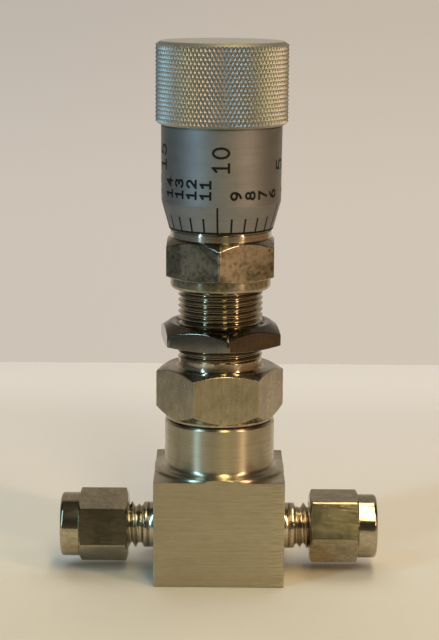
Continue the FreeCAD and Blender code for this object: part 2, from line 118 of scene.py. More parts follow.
class Wire:
    """A socket in a node tree. Sums on it add Math nodes, and make adds any other node."""

    def __init__(self, tree, socket=None):
        self.tree = tree
        self.socket = socket

    def make(self, kind, settings, inputs, output=0):
        """A new node: its settings are set first, then the values or links of its sockets."""
        node = self.tree.nodes.new("ShaderNode" + kind)
        for name, value in settings.items():
            setattr(node, name, value)
        for name, value in inputs.items():
            if isinstance(value, Wire):
                self.tree.links.new(value.socket, node.inputs[name])
            elif isinstance(value, tuple) and node.inputs[name].type == "RGBA":
                node.inputs[name].default_value = (*value, 1)
            else:
                node.inputs[name].default_value = value
        return Wire(self.tree, node.outputs[output] if node.outputs else None)

    def math(self, operation, first, second):
        return self.make("Math", {"operation": operation}, {0: first, 1: second})

    def __add__(self, other):
        return self.math("ADD", self, other)

    __radd__ = __add__

    def __sub__(self, other):
        return self.math("SUBTRACT", self, other)

    def __rsub__(self, other):
        return self.math("SUBTRACT", other, self)

    def __mul__(self, other):
        return self.math("MULTIPLY", self, other)

    def ramp(self, low, high):
        """0 below low, 1 above high and a smooth rise between them."""
        limits = {"Value": self, "From Min": low, "From Max": high}
        return self.make("MapRange", {"interpolation_type": "SMOOTHSTEP"}, limits)

    def between(self, first, second):
        """The colour at this share of the way from the first colour to the second."""
        return self.make(
            "Mix", {"data_type": "RGBA"}, {"Factor": self, "A": first, "B": second}, "Result"
        )

    def vector(self, operation, other=(1, 1, 1), output="Vector"):
        """Vector maths on this point and another."""
        return self.make("VectorMath", {"operation": operation}, {0: self, 1: other}, output)

    def axis(self, name):
        """One part of this point or direction: X, Y or Z."""
        return self.make("SeparateXYZ", {}, {"Vector": self}, name)

    def noise(self, detail):
        """Soft noise at this point, with features about one unit across."""
        return self.make("TexNoise", {}, {"Vector": self, "Scale": 1.0, "Detail": detail}, "Fac")

    def place(self):
        """The point on the piece, in millimetres in the valve's frame."""
        point = self.make("TexCoord", {}, {}, "Object")
        return self.make("VectorMath", {"operation": "SCALE"}, {0: point, "Scale": 1 / MM})

    def facing(self):
        """1 where the surface faces straight up, 0 on a side and -1 underneath."""
        return self.make("TexCoord", {}, {}, "Normal").axis("Z")

    def reach(self):
        """How far the point lies from the valve's axis, in millimetres."""
        return self.place().vector("MULTIPLY", (1, 1, 0)).vector("LENGTH", output="Value")

    def grain(self, per_mm, detail=3.0):
        """Noise drawn out along the axes that have few features to the millimetre."""
        return self.place().vector("MULTIPLY", per_mm).noise(detail)

    def lathe_lines(self, per_mm, detail=2.0, across=(1, 1, 0)):
        """Noise in rings, as a lathe leaves it. Across is 0 for the axis that they run round."""
        point = self.place()
        sideways = point.vector("MULTIPLY", across)
        radius = sideways.vector("LENGTH", output="Value")
        lengthways = point.vector("MULTIPLY", tuple(1 - part for part in across))
        height = lengthways.vector("DOT_PRODUCT", output="Value")
        drift = sideways.vector("DOT_PRODUCT", output="Value")
        rings = self.make(
            "CombineXYZ", {}, {"X": radius * per_mm, "Y": height * per_mm, "Z": drift * ring_drift}
        )
        return rings.noise(detail)


def blank(name):
    """A new material and the wire that makes its nodes."""
    material = bpy.data.materials.new(name)
    material.use_nodes = True
    material.node_tree.nodes.clear()
    return material, Wire(material.node_tree)


def covered(material, shade, inputs):
    """The material, once it has a surface with these inputs."""
    surface = shade.make("BsdfPrincipled", {}, inputs)
    shade.make("OutputMaterial", {}, {"Surface": surface})
    return material


def metal(name, pattern, dark, light, rough, depth, stretch=0.0, wear=None):
    """A metal whose colour, gloss and relief follow one pattern of tool marks, darkened by a mask of
    real stains and painted shade where one is given.
    """
    material, shade = blank(name)
    marks = pattern(shade)
    colour = marks.ramp(0.25, 0.75).between(dark, light)
    gloss = rough[0] + (1 - marks) * (rough[1] - rough[0])
    if wear:
        # Real stains and painted shade darken the colour here and make the surface a little glossier.
        darkening = wear(shade)
        colour = darkening.between(colour, tuple(stain_and_shade_darkness * part for part in dark))
        gloss = gloss - darkening * stain_and_shade_polish
    relief = shade.make("Bump", {}, {"Strength": 1.0, "Distance": depth, "Height": marks})
    return covered(material, shade, {
        "Base Color": colour,
        "Metallic": 1.0,
        "Roughness": gloss,
        "Anisotropic": stretch,
        "Anisotropic Rotation": 0.25,
        "Normal": relief,
    })


def bar_radius(angle, flats, sides, turn, corner_round):
    """How far the side of a rounded square or six-sided bar lies from its axis."""
    sector = math.tau / sides
    flat = flats / 2
    off = abs((angle - turn + sector / 2) % sector - sector / 2)
    centre = flat - corner_round
    if off <= math.atan(centre * math.tan(sector / 2) / flat):
        return flat / math.cos(off)
    swing = sector / 2 - off
    reach = centre / math.cos(sector / 2)
    return reach * math.cos(swing) + math.sqrt(corner_round**2 - (reach * math.sin(swing)) ** 2)


def round_angles(count):
    """Angles all the way round, with the last in the place of the first."""
    return [math.tau * i / count for i in range(count + 1)]


def bar_angles(flats, sides, turn, corner_round, count):
    """Angles all the way round a bar, with a few more at each of its corners."""
    angles = set(round_angles(count))
    half_corner = 1.2 * corner_round / flats
    for corner in range(sides):
        middle = turn + math.tau * (corner + 0.5) / sides
        for share in (-1, -0.5, 0, 0.5, 1):
            angles.add((middle + share * half_corner) % math.tau)
    return sorted(angles)


def arc(centre, radius, start, end, count=5):
    """Points on a round stretch of an outline, from one angle in degrees to another."""
    points = []
    for i in range(count):
        angle = math.radians(start + (end - start) * i / (count - 1))
        points.append((centre[0] + radius * math.cos(angle), centre[1] + radius * math.sin(angle)))
    return points


def softened(outline):
    """Rounds each corner of a closed outline that gives a third number, its size."""
    points = []
    for i, corner in enumerate(outline):
        if len(corner) == 2:
            points.append(corner)
            continue
        here = Vector(corner[:2])
        ends = []
        for neighbour in (outline[i - 1], outline[(i + 1) % len(outline)]):
            way = Vector(neighbour[:2]) - here
            if way.length > 0:
                way = way * min(corner[2] / way.length, 0.4)
            ends.append(here + way)
        middle = 0.25 * ends[0] + 0.5 * here + 0.25 * ends[1]
        points += [tuple(ends[0]), tuple(middle), tuple(ends[1])]
    return points


def thread(angle, low, high, pitch, root, crest, low_radius, high_radius, start_turn):
    """A right-hand thread's outline at one angle. It fades into the plain bar at each end."""
    profile = (
        (0.02, 1.0), (0.10, 1.0), (0.15, 0.93), (0.42, 0.05),
        (0.46, 0.0), (0.66, 0.0), (0.70, 0.05), (0.97, 0.93),
    )
    points = []
    lift = ((angle - start_turn) / math.tau) * pitch
    turns = math.ceil((high - low) / pitch) + 3
    for i in range(turns):
        for share, part in profile:
            height = low + (i - 2 + share) * pitch + lift
            height = min(max(height, low), high)
            radius = root + part * (crest - root)
            for rise, end_radius in ((height - low, low_radius), (high - height, high_radius)):
                radius = min(max(radius, end_radius - rise), end_radius + rise)
            points.append((radius, height))
    return points


def around(radius, turn, height):
    """The point this far from the valve's axis, with its turn counted from the front."""
    return Vector((radius * math.sin(turn), -radius * math.cos(turn), height))


def upright(point):
    return point


def laid(side):
    """Turns a piece made upright so that it lies along a port: 1 for +X and -1 for -X."""
    def place(point):
        return Vector((side * point.z, point.y, port_height - side * point.x))
    return place


def join(form, near, far):
    """Adds the faces between two closed rings."""
    for i in range(len(near)):
        form.faces.new((near[i - 1], near[i], far[i], far[i - 1]))


def made(form, name, material, crisp=crease_angle):
    """Makes an object of a form in millimetres, with soft edges and sharp creases."""
    bmesh.ops.remove_doubles(form, verts=form.verts, dist=0.0005)
    bmesh.ops.dissolve_degenerate(form, edges=form.edges, dist=0.0002)
    bmesh.ops.recalc_face_normals(form, faces=form.faces)
    bmesh.ops.scale(form, verts=form.verts, vec=(MM, MM, MM))
    mesh = bpy.data.meshes.new(name)
    form.to_mesh(mesh)
    form.free()
    piece = bpy.data.objects.new(name, mesh)
    bpy.context.scene.collection.objects.link(piece)
    mesh.materials.append(material)
    crease(piece, crisp)
    return piece


def turned_piece(name, material, outline_at, angles, crisp=crease_angle, place=upright):
    """A closed turned skin: outline_at gives its outline's (radius, height) at each angle."""
    form = bmesh.new()
    columns = []
    for angle in angles:
        column = []
        for radius, height in softened(outline_at(angle)):
            column.append(form.verts.new(place(around(radius, angle, height))))
        columns.append(column)
    for near, far in zip(columns, columns[1:]):
        join(form, near, far)
    return made(form, name, material, crisp)


def crease(piece, crisp):
    """Shades a piece softly but for its edges that turn through more than crisp degrees."""
    form = bmesh.new()
    form.from_mesh(piece.data)
    for face in form.faces:
        face.smooth = True
    for edge in form.edges:
        edge.smooth = edge.calc_face_angle(math.pi) < math.radians(crisp)
    form.to_mesh(piece.data)
    form.free()
    if not piece.modifiers:
        weighting = piece.modifiers.new("even shading", "WEIGHTED_NORMAL")
        weighting.keep_sharp = True
        weighting.weight = 80


def drill(piece, radius, start, end, crisp=crease_angle):
    """Cuts a round hole from one point to another, in millimetres."""
    way = Vector(end) - Vector(start)
    turned_way = way.to_track_quat("Z", "Y").to_matrix()
    drill_bit = turned_piece(
        "drill",
        piece.data.materials[0],
        lambda angle: [(0, 0), (radius, 0), (radius, way.length), (0, way.length)],
        round_angles(48),
        place=lambda point: Vector(start) + turned_way @ point,
    )
    piece.modifiers.clear()
    cut = piece.modifiers.new("hole", "BOOLEAN")
    cut.operation = "DIFFERENCE"
    cut.solver = "EXACT"
    cut.object = drill_bit
    scene_graph = bpy.context.evaluated_depsgraph_get()
    mesh = bpy.data.meshes.new_from_object(piece.evaluated_get(scene_graph))
    piece.modifiers.clear()
    old = piece.data
    piece.data = mesh
    bpy.data.meshes.remove(old)
    bpy.data.objects.remove(drill_bit)
    crease(piece, crisp)


def block_marks(shade):
    """Level brushing over the block's faces, with short streaks and deeper scores at the right."""
    brush = shade.grain((0.07, 0.07, 6.5), 4.0)
    fine = shade.grain((0.5, 0.5, 16.0), 2.0)
    streaks = shade.place().vector("SUBTRACT", streak_centre).vector("MULTIPLY", (0.6, 0, 6.0))
    spots = shade.grain((0.35, 0.35, 0.35), 2.0)
    at_right = shade.place().axis("X").ramp(5.5, 10.5)
    scores = at_right * (shade.grain((0.35, 0.35, 7.0), 1.0) - 0.5)
    marks = brush * 0.36 + fine * 0.30 + streaks.noise(3.0) * 0.2
    return marks + spots * 0.14 + scores * 0.8


def block_outline(angle):
    """The square block and its round neck, outside and then inside."""
    side = bar_radius(angle, block_flats, 4, 0.0, block_corner_round)
    land_centre = (land_radius - land_round, block_top)
    fillet_centre = (neck_radius + neck_fillet, block_top + land_round + neck_fillet)
    side_top = block_top
    if side < land_radius:
        side_top = block_top + math.sqrt(land_round**2 - (side - land_centre[0]) ** 2)
    land = [
        point if point[0] < side else (side, side_top)
        for point in arc(land_centre, land_round, 0, 90)
    ]
    return [
        (0, 0),
        (side, 0, 0.25),
        (side, side_top, 0.10),
        (min(side, land_radius), side_top),
        *land,
        *arc(fillet_centre, neck_fillet, 270, 180),
        (neck_radius, neck_top - neck_bevel, 0.08),
        (neck_radius - neck_bevel, neck_top, 0.08),
        (plug_bore, neck_top),
        (plug_bore, gasket_seat),
        (chamber_radius, gasket_seat),
        (chamber_radius, seat_top),
        (seat_bore, seat_top),
        (seat_bore, seat_floor),
        (pocket_radius, seat_floor),
        (pocket_radius, pocket_floor),
        (0, pocket_floor),
    ]


def port_outline(side):
    """A port from the block to its mouth, then the tube's bore."""
    start = block_flats / 2
    groove = start + port_shoulder
    thread_low = groove + port_groove_bevel + port_groove_width

    def outline(angle):
        return [
            (flow_bore, start - port_overlap),
            (port_radius, start - port_overlap),
            (port_radius, start + score_place - score_depth),
            (port_radius - score_depth, start + score_place),
            (port_radius, start + score_place + score_depth),
            (port_radius, groove, 0.08),
            (port_groove_radius, groove + port_groove_bevel, 0.08),
            *thread(
                angle, thread_low, port_end, port_pitch, port_root, port_radius,
                port_groove_radius, port_radius - port_groove_bevel, port_thread_turn[side],
            ),
            (mouth_radius, port_end, 0.08),
            (tube_bore, port_end - mouth_depth),
            (tube_bore, tube_stop),
            (flow_bore, tube_stop),
        ]
    return outline


full_turn = round_angles(96)
body_metal = metal(
    "brushed_body_steel", block_marks, body_dark, body_light, (0.24, 0.38), 0.000005, stretch=0.85
)
block_angles = bar_angles(block_flats, 4, 0.0, block_corner_round, 144)
square_body = turned_piece("square_body", body_metal, block_outline, block_angles)
drill(square_body, flow_bore, (0, 0, port_height), (-port_end, 0, port_height))
bore_start = outlet_offset - outlet_radius - bore_overlap
drill(square_body, flow_bore, (bore_start, 0, port_height), (port_end, 0, port_height))
drill(square_body, outlet_radius, (outlet_offset, 0, port_height), (outlet_offset, 0, seat_top + 1))
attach(square_body, "valve")
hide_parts("valve_body")


def port_marks(shade):
    """Fine turning along a port, with some mottling."""
    return shade.lathe_lines(6.0, 2.0, (0, 1, 1)) * 0.7 + shade.grain((0.8, 0.8, 0.8)) * 0.3


port_metal = metal(
    "turned_port_steel", port_marks, (0.40, 0.34, 0.26), (0.66, 0.58, 0.46), (0.13, 0.26), 0.000003
)
for side, name in ((-1, "left_port"), (1, "right_port")):
    port = turned_piece(name, port_metal, port_outline(side), full_turn, 50, laid(side))
    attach(port, "valve")
    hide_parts("valve_body")


# Bonnet
# The upper half of the pressure shell: a six-sided steel bar that screws into the neck, with
# a long threaded stem above it. Its flats are drawn stock, and its thread is single-point cut.
bonnet_low, bonnet_high = (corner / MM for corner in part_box("bonnet"))
bonnet_flats = 19.05
bonnet_turn = math.radians(6)
bonnet_foot = neck_top + 0.35
bonnet_hex_top = bonnet_foot + 8.85
bonnet_foot_radius = 9.3
bonnet_foot_ring = 0.35
bonnet_foot_slope = 0.9
bonnet_crown_radius = 9.3
bonnet_crown_slope = 0.53
bonnet_plug = 7.45
bonnet_nose = 5.9
bonnet_shoulder = neck_top - 5.8
relief_radius = 7.1
relief_top = bonnet_hex_top + 1.5
bonnet_crest = 7.22
bonnet_root = 6.62
bonnet_pitch = 0.98
bonnet_end_radius = 6.72
bonnet_thread_turn = math.radians(-115)
needle_way = 1.65
wide_bore = 2.6
guide_length = 5.5
packing_box_radius = 4.2
packing_floor = bonnet_high.z - 12.9
throat_length = 2.5
hex_corner_round = 0.22
turned_reach = (7.3, 7.7)
root_band = 0.33
bonnet_dark = (0.33, 0.28, 0.19)
bonnet_light = (0.55, 0.475, 0.34)


def drawn_marks(shade):
    """Drawing lines along a six-sided bar with some mottling, and a bright turned stem."""
    drawn = shade.grain((3.0, 3.0, 0.12), 3.0)
    mottle = shade.grain((0.5, 0.5, 0.4), 3.0)
    rings = shade.lathe_lines(5.0)
    turned = 1 - shade.reach().ramp(*turned_reach)
    return (drawn * 0.35 + mottle * 0.4 + rings * 0.25) * (1 - turned) + turned * 0.95


def flat_stains(shade):
    """A few dark pits and stains."""
    pits = shade.make("TexVoronoi", {}, {"Vector": shade.place(), "Scale": 0.35}, "Distance")
    worn = shade.grain((0.4, 0.4, 0.5), 4.0)
    cloud = shade.grain((0.22, 0.22, 0.3), 5.0)
    speckle = shade.grain((1.6, 1.6, 1.6), 3.0)
    stains = cloud.ramp(0.45, 0.62) * 0.4 + speckle.ramp(0.48, 0.68) * 0.3
    return (1 - pits.ramp(0.05, 0.14)) * worn.ramp(0.5, 0.62) * 0.8 + stains


def dull_ends(share, darkening):
    """Real stains on the flats, and painted shade on turned cones and undersides and in the thread
    roots.
    """
    def wear(shade):
        facing = shade.facing()
        # Painted shade in the thread roots and on everything nearer the axis.
        roots = 1 - shade.reach().ramp(bonnet_root, bonnet_root + root_band)
        # Painted shade on faces that turn up or down: the turned cones and the undersides.
        ends = facing.ramp(0.35, 0.5) + (0 - facing).ramp(0.35, 0.5)
        return flat_stains(shade) * darkening + ends * share + roots * 0.65
    return wear


def hexagon(angle, flats, turn, low, high, low_radius, low_slope, high_radius, high_slope, soft=0.1):
    """A six-sided bar's outline, its corners turned down by a cone at each end."""
    side = bar_radius(angle, flats, 6, turn, hex_corner_round)
    return [
        (min(side, low_radius), low, soft),
        (side, low + max(side - low_radius, 0) * low_slope, soft),
        (side, high - max(side - high_radius, 0) * high_slope, soft),
        (min(side, high_radius), high, soft),
    ]


def bonnet_outline(angle):
    """The plug, hexagon and threaded stem, then the stepped bore."""
    return [
        (needle_way, bonnet_low.z),
        (bonnet_nose, bonnet_low.z, 0.4),
        (bonnet_nose, bonnet_shoulder),
        (bonnet_plug, bonnet_shoulder),
        (bonnet_plug, bonnet_foot),
        (bonnet_foot_radius, bonnet_foot, 0.06),
        *hexagon(
            angle, bonnet_flats, bonnet_turn, bonnet_foot + bonnet_foot_ring, bonnet_hex_top,
            bonnet_foot_radius, bonnet_foot_slope, bonnet_crown_radius, bonnet_crown_slope,
        ),
        (relief_radius, bonnet_hex_top, 0.4),
        *thread(
            angle, relief_top, bonnet_high.z, bonnet_pitch, bonnet_root, bonnet_crest,
            relief_radius, bonnet_end_radius, bonnet_thread_turn,
        ),
        (packing_box_radius, bonnet_high.z),
        (packing_box_radius, packing_floor),
        (needle_way, packing_floor),
        (needle_way, packing_floor - throat_length),
        (wide_bore, packing_floor - throat_length),
        (wide_bore, bonnet_low.z + guide_length),
        (needle_way, bonnet_low.z + guide_length),
    ]


# Painted shade darkens the bonnet's cones, undersides and thread roots; its flats carry real stains.
bonnet_metal = metal(
    "drawn_bonnet_steel", drawn_marks, bonnet_dark, bonnet_light, (0.17, 0.42), 0.000001,
    stretch=0.8, wear=dull_ends(0.3, 0.4),
)
bonnet_angles = bar_angles(bonnet_flats, 6, bonnet_turn, hex_corner_round, 120)
bonnet_bar = turned_piece("bonnet_bar", bonnet_metal, bonnet_outline, bonnet_angles, 40)
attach(bonnet_bar, "valve")
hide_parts("bonnet")


# Panel nut
# A thin six-sided steel nut on the bonnet's thread, which clamps the valve in a panel.
# Both ends are turned down at the corners, and its bore is bevelled for the thread.
panel_low, panel_high = (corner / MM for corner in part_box("panel_nut"))
panel_flats = 19.3
panel_turn = math.radians(36.9)
panel_crown_radius = 8.67
panel_crown_slope = 0.66
panel_foot_radius = 9.25
panel_foot_slope = 0.238
panel_bore = 7.27
panel_bevel = 0.5


def panel_outline(angle):
    """The thin hexagon and its bevelled bore."""
    return [
        (panel_bore + panel_bevel, panel_low.z, 0.05),
        *hexagon(
            angle, panel_flats, panel_turn, panel_low.z, panel_high.z,
            panel_foot_radius, panel_foot_slope, panel_crown_radius, panel_crown_slope,
        ),
        (panel_bore + panel_bevel, panel_high.z, 0.05),
        (panel_bore, panel_high.z - panel_bevel),
        (panel_bore, panel_low.z + panel_bevel),
    ]


# Painted shade darkens the panel nut's turned cones and undersides; its flats carry real stains.
panel_metal = metal(
    "dark_nut_steel", drawn_marks, (0.15, 0.128, 0.10), (0.25, 0.212, 0.165), (0.07, 0.15), 0.000001,
    wear=dull_ends(0.8, 0.5),
)
panel_angles = bar_angles(panel_flats, 6, panel_turn, hex_corner_round, 120)
panel_nut = turned_piece("panel_clamp_nut", panel_metal, panel_outline, panel_angles)
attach(panel_nut, "panel_nut")
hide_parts("panel_nut")


# Packing nut
# A six-sided steel nut with a round collar below. It screws down on the bonnet, presses the packing
# through the gland, and carries the barrel on the spigot that stands on it.
packing_low, packing_high = (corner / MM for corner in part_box("packing_nut"))
packing_flats = 18.1
packing_turn = math.radians(28.6)
collar_radius = 8.56
collar_height = 1.7
collar_round = 0.75
collar_drop = 0.26
collar_foot = packing_low.z - collar_drop
collar_step = 0.02
packing_hex_foot = packing_low.z + collar_height
packing_hex_top = packing_hex_foot + 6.85
packing_crown_radius = 8.7
packing_crown_slope = 0.714
packing_foot_radius = 8.6
packing_foot_slope = 0.378
spigot_radius = 5.5
screw_way = 3.225
nut_roof = packing_low.z + 7.1


def packing_nut_outline(angle):
    """The collar, hexagon and spigot, then the bore."""
    return [
        (panel_bore, collar_foot),
        *arc((collar_radius - collar_round, collar_foot + collar_round), collar_round, 270, 360),
        (collar_radius, packing_hex_foot - collar_step),
        *hexagon(
            angle, packing_flats, packing_turn, packing_hex_foot, packing_hex_top,
            packing_foot_radius, packing_foot_slope, packing_crown_radius, packing_crown_slope,
        ),
        (spigot_radius, packing_hex_top),
        (spigot_radius, packing_high.z, 0.3),
        (screw_way, packing_high.z),
        (screw_way, nut_roof),
        (panel_bore, nut_roof),
    ]


# Painted shade darkens the packing nut's cones, undersides and the spigot near the axis; its flats
# carry real stains.
nut_metal = metal(
    "satin_nut_steel", drawn_marks, (0.345, 0.30, 0.21), (0.50, 0.44, 0.325), (0.20, 0.28), 0.000001,
    stretch=0.85, wear=dull_ends(0.4, 1.5),
)
packing_angles = bar_angles(packing_flats, 6, packing_turn, hex_corner_round, 120)
packing_nut = turned_piece("packing_clamp_nut", nut_metal, packing_nut_outline, packing_angles)
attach(packing_nut, "valve")
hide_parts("packing_nut")


# Barrel
# The fixed steel sleeve of the micrometer head, locked on the spigot by a screw. Its flange shows
# below the thimble, and black filled lines above the flange count the turns as the thimble rises.
barrel_low, barrel_high = (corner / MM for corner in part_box("barrel"))
barrel_flange_radius = 8.6
barrel_flange_top = barrel_low.z + 1.2
barrel_radius = 8.3
barrel_bore = 7.0
barrel_spigot_bore = 5.6
barrel_floor_top = barrel_low.z + 3.95
lock_screw_height = barrel_low.z + 2.55
lock_screw_way = 0.8
screw_pitch = 0.635
turns_shown = 10
number_every = 5
index_turn = math.radians(-3.7)
index_gap = 0.1
long_tick = 1.9
short_tick = 1.1
barrel_line = 0.14
number_gap = 0.9
number_drop = 0.4
barrel_cap = 0.9
barrel_step = 0.85
ink_proud = 0.012
ink_depth = 0.05
ink_step = 0.35
digit_middle = 0.29
digit_widths = (1.14, 1.2)


def barrel_side(height):
    """The sleeve's radius, the same at every height."""
    return barrel_radius


def barrel_outline(angle):
    return [
        (barrel_spigot_bore, barrel_low.z),
        (barrel_flange_radius, barrel_low.z, 0.12),
        (barrel_flange_radius, barrel_flange_top, 0.12),
        (barrel_radius, barrel_flange_top),
        (barrel_radius, barrel_high.z, 0.15),
        (barrel_bore, barrel_high.z),
        (barrel_bore, barrel_floor_top),
        (barrel_spigot_bore, barrel_floor_top),
    ]


def turned_marks(shade):
    """Fine turning with a little mottling."""
    return shade.lathe_lines(9.0, 3.0) * 0.75 + shade.grain((0.7, 0.7, 0.7)) * 0.25


def short_steps(points, closed):
    """A line's points, with more between them so that it can follow a round surface."""
    ends = points[1:] + points[:1] if closed else points[1:]
    path = []
    for start, end in zip(points, ends):
        start, end = Vector(start), Vector(end)
        steps = max(1, math.ceil((end - start).length / ink_step))
        path += [start.lerp(end, i / steps) for i in range(steps)]
    return path if closed else path + [Vector(points[-1])]


def ink_stroke(form, points, width, radius_at, closed=False):
    """A filled line sunk in a round surface. Points are (distance round from the front, height)."""
    path = short_steps(points, closed)
    count = len(path)
    columns = []
    for i, point in enumerate(path):
        ways = []
        if closed or i:
            ways.append((point - path[i - 1]).normalized())
        if closed or i + 1 < count:
            ways.append((path[(i + 1) % count] - point).normalized())
        way = sum(ways, Vector((0, 0))).normalized()
        across = Vector((-way.y, way.x))
        spread = width / 2 / max(abs(across.dot(Vector((-ways[0].y, ways[0].x)))), 0.5)
        if len(ways) == 1:
            point = point + way * (width / 2 if i else -width / 2)
        column = []
        for share, proud in ((-1, -ink_depth), (-1, ink_proud), (1, ink_proud), (1, -ink_depth)):
            spot = point + across * spread * share
            radius = radius_at(spot.y)
            column.append(form.verts.new(around(radius + proud, spot.x / radius, spot.y)))
        columns.append(column)
    pairs = list(zip(columns, columns[1:]))
    if closed:
        pairs.append((columns[-1], columns[0]))
    else:
        form.faces.new(columns[0])
        form.faces.new(columns[-1])
    for near, far in pairs:
        join(form, near, far)


def loop_points(centre, half_width, half_height, start, end, count):
    """Points on an oval, from one angle in degrees to another."""
    points = []
    for i in range(count):
        angle = math.radians(start + (end - start) * i / (count - 1))
        points.append(
            (centre[0] + half_width * math.cos(angle), centre[1] + half_height * math.sin(angle))
        )
    return points


def oval(centre, half_width, half_height):
    return loop_points(centre, half_width, half_height, 0, 360, 25)[:-1]


six_tail = loop_points((0.50, 0.33), 0.49, 0.67, 180, 98, 8)
nine_tail = [(2 * digit_middle - across, 1 - up) for across, up in six_tail]
five_bowl = loop_points((0.26, 0.32), 0.3, 0.32, 128, -145, 12)
two_hook = loop_points((0.29, 0.71), 0.27, 0.29, 165, -38, 12)
digit_strokes = {
    "0": [(oval((0.3, 0.5), 0.29, 0.5), True)],
    "1": [([(0.04, 0.80), (0.28, 1), (0.28, 0)], False), ([(0, 0), (0.56, 0)], False)],
    "2": [(two_hook + [(0.0, 0.0), (0.58, 0.0)], False)],
    "3": [
        (loop_points((0.27, 0.75), 0.25, 0.25, 155, -90, 12), False),
        (loop_points((0.27, 0.26), 0.29, 0.26, 90, -155, 12), False),
    ],
    "4": [([(0.42, 0), (0.42, 1), (0.0, 0.30), (0.60, 0.30)], False)],
    "5": [([(0.52, 1), (0.10, 1), (0.06, 0.56)] + five_bowl, False)],
    "6": [(oval((0.29, 0.29), 0.28, 0.29), True), (six_tail, False)],
    "7": [([(0, 1), (0.56, 1), (0.18, 0)], False)],
    "8": [(oval((0.29, 0.75), 0.24, 0.25), True), (oval((0.29, 0.26), 0.29, 0.26), True)],
    "9": [(oval((0.29, 0.71), 0.28, 0.29), True), (nine_tail, False)],
}


def ink_number(form, number, middle, start, cap, step, width, widths, radius_at):
    """Digits that read upwards: middle is the distance round to the middle of their height."""
    for place, digit in enumerate(str(number)):
        widen = widths[0] if digit == "1" else widths[1]
        for points, closed in digit_strokes[digit]:
            laid_out = []
            for across, up in points:
                along = (digit_middle + (across - digit_middle) * widen) * cap
                laid_out.append((middle - (up - 0.5) * cap, start + place * step + along))
            ink_stroke(form, laid_out, width, radius_at, closed)


def ink(name):
    """Black filler with a dull, slightly uneven face."""
    material, shade = blank(name)
    speckle = shade.grain((4.0, 4.0, 4.0), 2.0)
    return covered(material, shade, {
        "Base Color": speckle.between((0.002, 0.002, 0.002), (0.008, 0.008, 0.007)),
        "Roughness": speckle * 0.2 + 0.5,
        "Specular IOR Level": 0.2,
        "Normal": shade.make("Bump", {}, {"Distance": 0.000004, "Height": speckle}),
    })


barrel_metal = metal(
    "turned_barrel_steel", turned_marks, (0.42, 0.37, 0.28), (0.62, 0.56, 0.45), (0.15, 0.23),
    0.000001, stretch=0.97,
)
barrel = turned_piece("graduated_barrel", barrel_metal, barrel_outline, full_turn)
outside = barrel_flange_radius + 1
drill(barrel, lock_screw_way, (0, 0, lock_screw_height), (0, outside, lock_screw_height))
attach(barrel, "valve")
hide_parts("barrel")

dial_ink = ink("dial_ink")
index_low = barrel_flange_top + index_gap
middle = index_turn * barrel_radius
form = bmesh.new()
index_line = [(middle, index_low), (middle, index_low + screw_pitch * turns_shown)]
ink_stroke(form, index_line, barrel_line, barrel_side)
for count in range(turns_shown + 1):
    height = index_low + screw_pitch * count
    long = count % number_every == 0
    reach = long_tick if long else short_tick
    tick = [(middle + barrel_line, height), (middle + reach, height)]
    ink_stroke(form, tick, barrel_line, barrel_side)
    if long and count:
        ink_number(
            form, count, middle + reach + number_gap, height - number_drop,
            barrel_cap, barrel_step, barrel_line, digit_widths, barrel_side,
        )
barrel_marks = made(form, "barrel_marks", dial_ink)
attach(barrel_marks, "valve")


# Thimble
# The graduated drum, turned from aluminium and bead blasted to a matte silver. One turn has 25
# divisions, engraved with their numbers and filled with black, and its foot tapers to the barrel.
thimble_low, thimble_high = (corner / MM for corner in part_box("thimble"))
thimble_lip_radius = 8.8
thimble_waist_radius = 10.1
thimble_top_radius = 10.2
thimble_waist = thimble_low.z + 4.65
thimble_bore = 8.4
thimble_inner = 8.95
thimble_guide_top = thimble_low.z + 4.2
thimble_cap = 1.44
thimble_stem_hole = 2.95
divisions = 25
reading = 10
dial_steps = 144
line_foot = thimble_low.z + 0.12
short_line_top = thimble_low.z + 2.5
long_line_top = thimble_low.z + 4.45
line_width = 0.32
# Width of the black foot ring, which is partly a filled line and partly painted shadow under the lip.
foot_ink_and_shadow = 0.34
# Numbers come in two sizes, each with its foot, height, spacing, stroke and widths.
small_number = (thimble_low.z + 6.05, 1.62, 1.84, 0.40, digit_widths)
large_number = (thimble_low.z + 10.4, 2.62, 2.4, 0.41, (0.87, 1.05))
number_offset = math.radians(3.2)


def dial_radius(height):
    """The drum's radius at a height: a steep taper below and a slight one above."""
    if height < thimble_waist:
        share = (height - thimble_low.z) / (thimble_waist - thimble_low.z)
        return thimble_lip_radius + share * (thimble_waist_radius - thimble_lip_radius)
    share = (height - thimble_waist) / (thimble_high.z - thimble_waist)
    return thimble_waist_radius + share * (thimble_top_radius - thimble_waist_radius)


def thimble_outline(angle):
    return [
        (thimble_bore, thimble_low.z),
        (thimble_lip_radius, thimble_low.z, 0.08),
        (thimble_waist_radius, thimble_waist, 0.2),
        (thimble_top_radius, thimble_high.z, 0.1),
        (thimble_stem_hole, thimble_high.z),
        (thimble_stem_hole, thimble_high.z - thimble_cap),
        (thimble_inner, thimble_high.z - thimble_cap),
        (thimble_inner, thimble_guide_top + thimble_inner - thimble_bore),
        (thimble_bore, thimble_guide_top),
    ]


def blasted_marks(shade):
    """The fine even texture of bead blasting over faint turning lines."""
    beads = shade.grain((9.0, 9.0, 9.0), 2.0)
    cloud = shade.grain((0.25, 0.25, 0.5), 3.0)
    return beads * 0.45 + cloud * 0.3 + shade.lathe_lines(5.0) * 0.25


thimble_metal = metal(
    "blasted_aluminium", blasted_marks, (0.24, 0.24, 0.235), (0.322, 0.322, 0.314), (0.52, 0.62),
    0.000002, stretch=0.3,
)
dial_angles = round_angles(dial_steps)
thimble = turned_piece("graduated_thimble", thimble_metal, thimble_outline, dial_angles, 20)
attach(thimble, "handle")
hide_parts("thimble")

